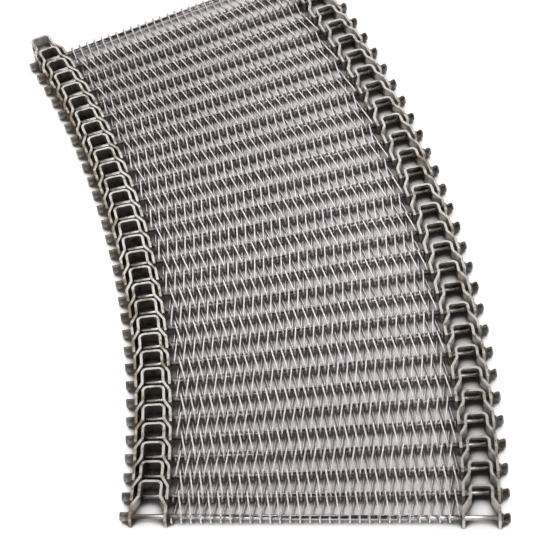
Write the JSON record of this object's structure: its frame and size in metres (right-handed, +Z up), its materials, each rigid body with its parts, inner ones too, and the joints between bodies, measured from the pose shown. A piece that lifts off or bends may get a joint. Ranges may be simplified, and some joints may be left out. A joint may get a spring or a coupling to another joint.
{
  "type": "wire mesh conveyor belt",
  "caption": "Turn-curve wire mesh conveyor belt: cross rods with slotted U links at both edges and a carrying face of wire spirals.",
  "frame": {"origin": "centre of the belt's outline on the face that it lies on", "axes": "+Z up out of the carrying face, +Y along the belt at its middle rod, +X from the inside of the turn to the outside"},
  "size_m": [0.3862, 0.8314, 0.012],
  "materials": {
    "rod_and_link_steel": "satin stainless steel, slightly stained",
    "spiral_wire_steel": "bright drawn stainless wire"
  },
  "bodies": {
    "section_01": {"row_01": "rod_and_link_steel", "spiral_01": "spiral_wire_steel"},
    "section_02": {"row_02": "rod_and_link_steel", "spiral_02": "spiral_wire_steel"},
    "section_03": {"row_03": "rod_and_link_steel", "spiral_03": "spiral_wire_steel"},
    "section_04": {"row_04": "rod_and_link_steel", "spiral_04": "spiral_wire_steel"},
    "section_05": {"row_05": "rod_and_link_steel", "spiral_05": "spiral_wire_steel"},
    "section_06": {"row_06": "rod_and_link_steel", "spiral_06": "spiral_wire_steel"},
    "section_07": {"row_07": "rod_and_link_steel", "spiral_07": "spiral_wire_steel"},
    "section_08": {"row_08": "rod_and_link_steel", "spiral_08": "spiral_wire_steel"},
    "section_09": {"row_09": "rod_and_link_steel", "spiral_09": "spiral_wire_steel"},
    "section_10": {"row_10": "rod_and_link_steel", "spiral_10": "spiral_wire_steel"},
    "section_11": {"row_11": "rod_and_link_steel", "spiral_11": "spiral_wire_steel"},
    "section_12": {"row_12": "rod_and_link_steel", "spiral_12": "spiral_wire_steel"},
    "section_13": {"row_13": "rod_and_link_steel", "spiral_13": "spiral_wire_steel"},
    "section_14": {"row_14": "rod_and_link_steel", "spiral_14": "spiral_wire_steel"},
    "section_15": {"row_15": "rod_and_link_steel", "spiral_15": "spiral_wire_steel"},
    "section_16": {"row_16": "rod_and_link_steel", "spiral_16": "spiral_wire_steel"},
    "section_17": {"row_17": "rod_and_link_steel", "spiral_17": "spiral_wire_steel"},
    "section_18": {"row_18": "rod_and_link_steel", "spiral_18": "spiral_wire_steel"},
    "section_19": {"row_19": "rod_and_link_steel", "spiral_19": "spiral_wire_steel"},
    "section_20": {"row_20": "rod_and_link_steel", "spiral_20": "spiral_wire_steel"},
    "section_21": {"row_21": "rod_and_link_steel", "spiral_21": "spiral_wire_steel"},
    "section_22": {"row_22": "rod_and_link_steel", "spiral_22": "spiral_wire_steel"},
    "section_23": {"row_23": "rod_and_link_steel", "spiral_23": "spiral_wire_steel"},
    "section_24": {"row_24": "rod_and_link_steel", "spiral_24": "spiral_wire_steel"},
    "section_25": {"row_25": "rod_and_link_steel", "spiral_25": "spiral_wire_steel"},
    "section_26": {"row_26": "rod_and_link_steel", "spiral_26": "spiral_wire_steel"},
    "section_27": {"row_27": "rod_and_link_steel", "spiral_27": "spiral_wire_steel"},
    "section_28": {"row_28": "rod_and_link_steel", "spiral_28": "spiral_wire_steel"},
    "section_29": {"row_29": "rod_and_link_steel", "spiral_29": "spiral_wire_steel"},
    "section_30": {"row_30": "rod_and_link_steel"}
  },
  "joints": [
    {"name": "rod_hinge_02", "type": "hinge", "parent": "section_01", "child": "section_02", "pos_m": [-0.01929, -0.34272, 0.006], "axis": [0.9716, -0.2367, 0], "range_deg": [-11, 11]},
    {"name": "rod_hinge_03", "type": "hinge", "parent": "section_02", "child": "section_03", "pos_m": [-0.01363, -0.31858, 0.006], "axis": [0.9756, -0.2194, 0], "range_deg": [-11, 11]},
    {"name": "rod_hinge_04", "type": "hinge", "parent": "section_03", "child": "section_04", "pos_m": [-0.0084, -0.29434, 0.006], "axis": [0.9794, -0.2021, 0], "range_deg": [-11, 11]},
    {"name": "rod_hinge_05", "type": "hinge", "parent": "section_04", "child": "section_05", "pos_m": [-0.00361, -0.27001, 0.006], "axis": [0.9828, -0.1848, 0], "range_deg": [-11, 11]},
    {"name": "rod_hinge_06", "type": "hinge", "parent": "section_05", "child": "section_06", "pos_m": [0.00076, -0.2456, 0.006], "axis": [0.9859, -0.1673, 0], "range_deg": [-11, 11]},
    {"name": "rod_hinge_07", "type": "hinge", "parent": "section_06", "child": "section_07", "pos_m": [0.00469, -0.22111, 0.006], "axis": [0.9887, -0.1499, 0], "range_deg": [-11, 11]},
    {"name": "rod_hinge_08", "type": "hinge", "parent": "section_07", "child": "section_08", "pos_m": [0.00819, -0.19656, 0.006], "axis": [0.9912, -0.1323, 0], "range_deg": [-11, 11]},
    {"name": "rod_hinge_09", "type": "hinge", "parent": "section_08", "child": "section_09", "pos_m": [0.01126, -0.17195, 0.006], "axis": [0.9934, -0.1148, 0], "range_deg": [-11, 11]},
    {"name": "rod_hinge_10", "type": "hinge", "parent": "section_09", "child": "section_10", "pos_m": [0.01388, -0.14729, 0.006], "axis": [0.9953, -0.0972, 0], "range_deg": [-11, 11]},
    {"name": "rod_hinge_11", "type": "hinge", "parent": "section_10", "child": "section_11", "pos_m": [0.01608, -0.12259, 0.006], "axis": [0.9968, -0.0796, 0], "range_deg": [-11, 11]},
    {"name": "rod_hinge_12", "type": "hinge", "parent": "section_11", "child": "section_12", "pos_m": [0.01783, -0.09786, 0.006], "axis": [0.9981, -0.0619, 0], "range_deg": [-11, 11]},
    {"name": "rod_hinge_13", "type": "hinge", "parent": "section_12", "child": "section_13", "pos_m": [0.01915, -0.07309, 0.006], "axis": [0.999, -0.0442, 0], "range_deg": [-11, 11]},
    {"name": "rod_hinge_14", "type": "hinge", "parent": "section_13", "child": "section_14", "pos_m": [0.02002, -0.04831, 0.006], "axis": [0.9996, -0.0265, 0], "range_deg": [-11, 11]},
    {"name": "rod_hinge_15", "type": "hinge", "parent": "section_14", "child": "section_15", "pos_m": [0.02046, -0.02351, 0.006], "axis": [1, -0.0088, 0], "range_deg": [-11, 11]},
    {"name": "rod_hinge_16", "type": "hinge", "parent": "section_15", "child": "section_16", "pos_m": [0.02046, 0.00128, 0.006], "axis": [1, 0.0088, 0], "range_deg": [-11, 11]},
    {"name": "rod_hinge_17", "type": "hinge", "parent": "section_16", "child": "section_17", "pos_m": [0.02002, 0.02608, 0.006], "axis": [0.9996, 0.0265, 0], "range_deg": [-11, 11]},
    {"name": "rod_hinge_18", "type": "hinge", "parent": "section_17", "child": "section_18", "pos_m": [0.01915, 0.05086, 0.006], "axis": [0.999, 0.0442, 0], "range_deg": [-11, 11]},
    {"name": "rod_hinge_19", "type": "hinge", "parent": "section_18", "child": "section_19", "pos_m": [0.01783, 0.07563, 0.006], "axis": [0.9981, 0.0619, 0], "range_deg": [-11, 11]},
    {"name": "rod_hinge_20", "type": "hinge", "parent": "section_19", "child": "section_20", "pos_m": [0.01608, 0.10036, 0.006], "axis": [0.9968, 0.0796, 0], "range_deg": [-11, 11]},
    {"name": "rod_hinge_21", "type": "hinge", "parent": "section_20", "child": "section_21", "pos_m": [0.01388, 0.12506, 0.006], "axis": [0.9953, 0.0972, 0], "range_deg": [-11, 11]},
    {"name": "rod_hinge_22", "type": "hinge", "parent": "section_21", "child": "section_22", "pos_m": [0.01126, 0.14972, 0.006], "axis": [0.9934, 0.1148, 0], "range_deg": [-11, 11]},
    {"name": "rod_hinge_23", "type": "hinge", "parent": "section_22", "child": "section_23", "pos_m": [0.00819, 0.17433, 0.006], "axis": [0.9912, 0.1323, 0], "range_deg": [-11, 11]},
    {"name": "rod_hinge_24", "type": "hinge", "parent": "section_23", "child": "section_24", "pos_m": [0.00469, 0.19888, 0.006], "axis": [0.9887, 0.1499, 0], "range_deg": [-11, 11]},
    {"name": "rod_hinge_25", "type": "hinge", "parent": "section_24", "child": "section_25", "pos_m": [0.00076, 0.22337, 0.006], "axis": [0.9859, 0.1673, 0], "range_deg": [-11, 11]},
    {"name": "rod_hinge_26", "type": "hinge", "parent": "section_25", "child": "section_26", "pos_m": [-0.00361, 0.24778, 0.006], "axis": [0.9828, 0.1848, 0], "range_deg": [-11, 11]},
    {"name": "rod_hinge_27", "type": "hinge", "parent": "section_26", "child": "section_27", "pos_m": [-0.0084, 0.27211, 0.006], "axis": [0.9794, 0.2021, 0], "range_deg": [-11, 11]},
    {"name": "rod_hinge_28", "type": "hinge", "parent": "section_27", "child": "section_28", "pos_m": [-0.01363, 0.29635, 0.006], "axis": [0.9756, 0.2194, 0], "range_deg": [-11, 11]},
    {"name": "rod_hinge_29", "type": "hinge", "parent": "section_28", "child": "section_29", "pos_m": [-0.01929, 0.32049, 0.006], "axis": [0.9716, 0.2367, 0], "range_deg": [-11, 11]},
    {"name": "rod_hinge_30", "type": "hinge", "parent": "section_29", "child": "section_30", "pos_m": [-0.02537, 0.34453, 0.006], "axis": [0.9673, 0.2538, 0], "range_deg": [-11, 11]}
  ]
}
